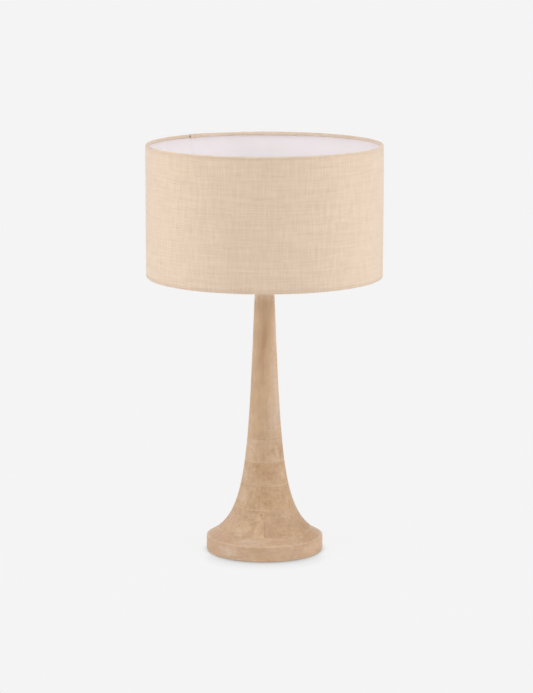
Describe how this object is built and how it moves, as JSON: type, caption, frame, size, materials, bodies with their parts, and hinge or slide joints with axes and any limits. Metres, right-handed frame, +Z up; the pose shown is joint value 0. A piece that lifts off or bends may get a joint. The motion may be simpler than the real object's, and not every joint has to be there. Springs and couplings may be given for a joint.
{
  "type": "table lamp",
  "caption": "Table lamp: a trumpet-shaped turned wood body of glued boards under a straight woven drum shade, with a screw lampholder, turn knob, ring fitter and bulb.",
  "frame": {"origin": "middle of the felt pad's underside, where the lamp stands", "axes": "+Z up along the turned body's axis, -Y to the front, +Y to the back where the lead enters, +X to the switch knob"},
  "size_m": [0.3556, 0.3556, 0.62],
  "materials": {
    "felt": "pressed wool felt",
    "wood": "pale turned hardwood, sanded and sealed matt",
    "zinc_steel": "zinc-plated steel",
    "bushing_plastic": "wood-coloured moulded plastic",
    "brass": "satin brass",
    "fibre_board": "vulcanised fibre",
    "phenolic": "moulded phenolic",
    "contact_brass": "bare sheet brass",
    "ring_plastic": "moulded plastic",
    "fitter_enamel": "white enamelled wire",
    "lining": "stiff white backing film",
    "shade_fabric": "slubby natural plain weave",
    "bulb_glass": "soft white inside coating",
    "bulb_metal": "thin drawn metal",
    "bulb_insulator": "black insulating glass"
  },
  "bodies": {
    "base": {"felt_pad": "felt", "base_disc": "wood", "lower_board_left": "wood", "lower_board_right": "wood", "tier_board_1": "wood", "tier_board_2": "wood", "tier_board_3": "wood", "neck_column": "wood", "threaded_rod": "zinc_steel", "base_washer": "zinc_steel", "base_nut": "zinc_steel", "cord_bushing": "bushing_plastic", "check_ring": "brass", "neck_nut": "brass", "socket_cap": "brass", "socket_shell": "brass", "socket_liner": "fibre_board", "socket_block": "phenolic", "terminal_screws": "brass", "screw_shell": "contact_brass", "centre_contact": "contact_brass"},
    "switch": {"switch_shaft": "brass", "switch_cam": "phenolic", "switch_knob": "phenolic"},
    "shade": {"fitter_hub": "fitter_enamel", "fitter_arms": "fitter_enamel", "bottom_ring": "fitter_enamel", "top_ring": "fitter_enamel", "shade_lining": "lining", "shade_fabric": "shade_fabric"},
    "ring": {"lock_ring": "ring_plastic"},
    "bulb": {"bulb_globe": "bulb_glass", "bulb_cap": "bulb_metal", "bulb_insulator": "bulb_insulator", "bulb_contact": "bulb_metal"}
  },
  "joints": [
    {"name": "switch_turn", "type": "hinge", "parent": "base", "child": "switch", "pos_m": [0, 0, 0.45095], "axis": [1, 0, 0], "continuous": true},
    {"name": "shade_turn", "type": "hinge", "parent": "base", "child": "shade", "pos_m": [0, 0, 0.4675], "axis": [0, 0, 1], "continuous": true},
    {"name": "ring_turn", "type": "hinge", "parent": "base", "child": "ring", "pos_m": [0, 0, 0.4675], "axis": [0, 0, 1], "range_deg": [0, 1440]},
    {"name": "bulb_lift", "type": "slide", "parent": "base", "child": "bulb", "axis": [0, 0, 1], "range_m": [0, 0.17]}
  ]
}
